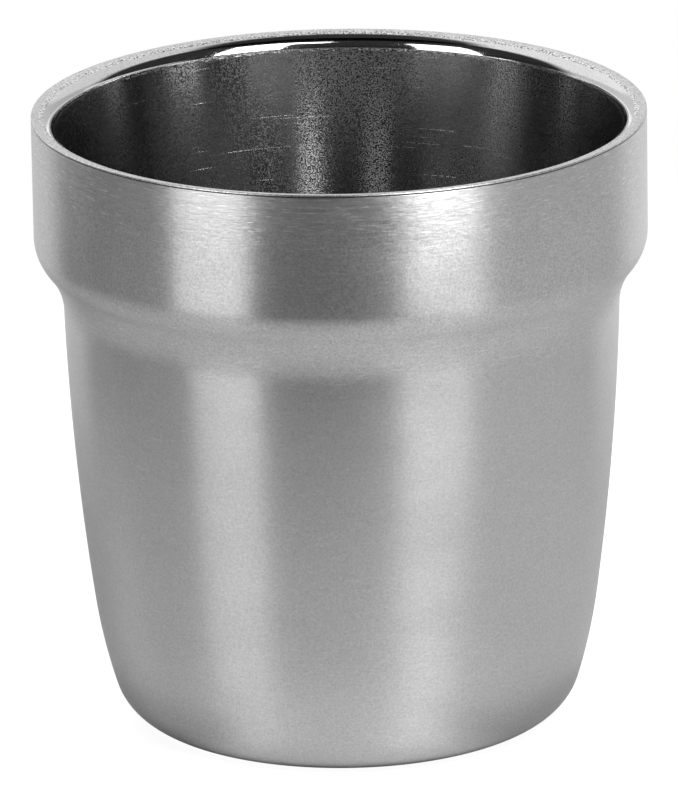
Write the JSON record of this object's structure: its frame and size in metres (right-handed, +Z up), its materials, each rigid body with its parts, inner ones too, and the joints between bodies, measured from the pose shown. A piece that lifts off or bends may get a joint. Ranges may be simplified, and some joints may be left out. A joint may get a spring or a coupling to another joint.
{
  "type": "julep cup",
  "caption": "Double-walled metal drinking cup with a straight collar, a rounded shoulder stepping in to a tapering body, and a rolled polished lip.",
  "frame": {"origin": "centre of the foot, on the surface that the cup stands on", "axes": "+Z up the cup's axis; the cup is round, so +X and +Y are free"},
  "size_m": [0.09, 0.09, 0.092],
  "materials": {
    "outer_steel": "satin, brushed round the cup",
    "liner_steel": "satin wall, polished lip",
    "base_steel": "satin",
    "weld_steel": "ground weld, darker than the sheets"
  },
  "bodies": {
    "root": {"outer_shell": "outer_steel", "inner_liner": "liner_steel", "base_plate": "base_steel", "rim_weld": "weld_steel", "base_weld": "weld_steel"}
  },
  "joints": []
}
